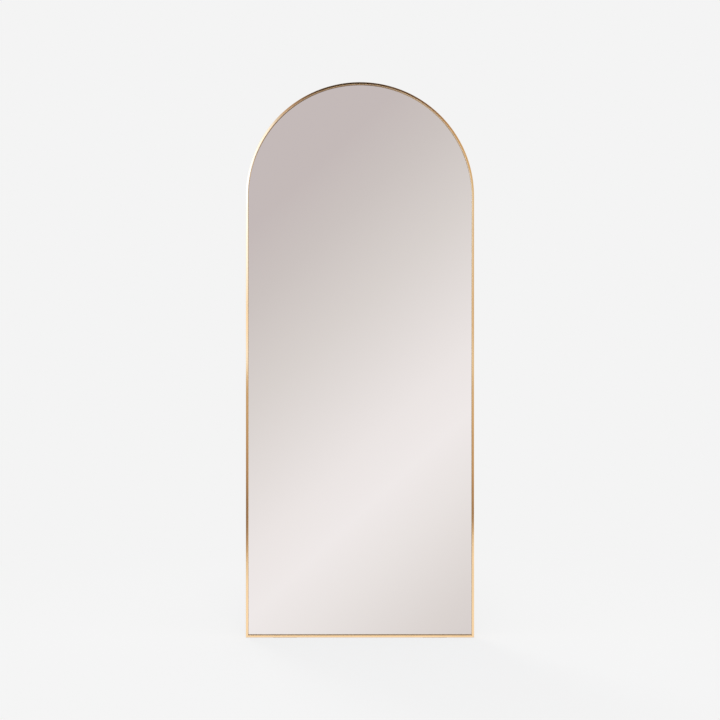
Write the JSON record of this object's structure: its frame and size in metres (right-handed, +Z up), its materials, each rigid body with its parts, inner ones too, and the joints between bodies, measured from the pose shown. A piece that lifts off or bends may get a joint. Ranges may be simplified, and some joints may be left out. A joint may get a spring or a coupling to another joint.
{
  "type": "leaning floor mirror",
  "caption": "Tall arched floor mirror with a slim brass-coloured metal frame, for leaning on a wall; wall bumpers, hanging rail and swinging D-rings on the back.",
  "frame": {"origin": "middle of the footprint on the floor, at the underside of the floor pads", "axes": "+Z up, +X to the right of someone looking into the glass, +Y to the wall behind; the glass faces -Y"},
  "size_m": [0.762, 0.035, 1.856],
  "materials": {
    "brass_frame": "brushed, brass-coloured anodising",
    "mirror_glass": "silvered float glass",
    "safety_film": "woven-backed film, satin",
    "backing_board": "black-painted fibreboard, matt",
    "pine_rail": "planed pine, unfinished",
    "foam": "closed-cell foam",
    "glazing_tape": "matt",
    "spring_steel": "blued spring steel",
    "cast_key": "die-cast",
    "zinc_steel": "bright zinc plate",
    "black_rubber": "matt",
    "pale_rubber": "translucent grey, satin"
  },
  "bodies": {
    "root": {"backing_board": "backing_board", "clip_screw_1": "zinc_steel", "clip_screw_2": "zinc_steel", "clip_screw_3": "zinc_steel", "clip_screw_4": "zinc_steel", "clip_screw_5": "zinc_steel", "clip_screw_6": "zinc_steel", "clip_screw_7": "zinc_steel", "clip_screw_8": "zinc_steel", "corner_key_left": "cast_key", "corner_key_right": "cast_key", "corner_plate_left": "zinc_steel", "corner_plate_right": "zinc_steel", "corner_screw_left_1": "zinc_steel", "corner_screw_left_2": "zinc_steel", "corner_screw_left_3": "zinc_steel", "corner_screw_left_4": "zinc_steel", "corner_screw_right_1": "zinc_steel", "corner_screw_right_2": "zinc_steel", "corner_screw_right_3": "zinc_steel", "corner_screw_right_4": "zinc_steel", "floor_pad_left": "pale_rubber", "floor_pad_right": "pale_rubber", "foam_strip_centre": "foam", "foam_strip_left": "foam", "foam_strip_right": "foam", "frame_arch": "brass_frame", "frame_bottom_rail": "brass_frame", "glazing_tape": "glazing_tape", "hanger_screw_left_lower": "zinc_steel", "hanger_screw_left_upper": "zinc_steel", "hanger_screw_right_lower": "zinc_steel", "hanger_screw_right_upper": "zinc_steel", "hanger_strap_left": "zinc_steel", "hanger_strap_right": "zinc_steel", "hanging_rail": "pine_rail", "mirror_glass": "mirror_glass", "rail_screw_left_lower": "zinc_steel", "rail_screw_left_upper": "zinc_steel", "rail_screw_right_lower": "zinc_steel", "rail_screw_right_upper": "zinc_steel", "retaining_clip_1": "spring_steel", "retaining_clip_2": "spring_steel", "retaining_clip_3": "spring_steel", "retaining_clip_4": "spring_steel", "retaining_clip_5": "spring_steel", "retaining_clip_6": "spring_steel", "retaining_clip_7": "spring_steel", "retaining_clip_8": "spring_steel", "safety_film": "safety_film", "setting_block_left": "black_rubber", "setting_block_right": "black_rubber", "wall_bumper_lower_left": "pale_rubber", "wall_bumper_lower_right": "pale_rubber", "wall_bumper_upper_left": "pale_rubber", "wall_bumper_upper_right": "pale_rubber"},
    "left_ring": {"hanger_ring_left": "zinc_steel"},
    "right_ring": {"hanger_ring_right": "zinc_steel"}
  },
  "joints": [
    {"name": "left_ring_swing", "type": "hinge", "parent": "root", "child": "left_ring", "pos_m": [-0.22, 0.014, 1.444], "axis": [1, 0, 0], "range_deg": [0, 180]},
    {"name": "right_ring_swing", "type": "hinge", "parent": "root", "child": "right_ring", "pos_m": [0.22, 0.014, 1.444], "axis": [1, 0, 0], "range_deg": [0, 180]}
  ]
}
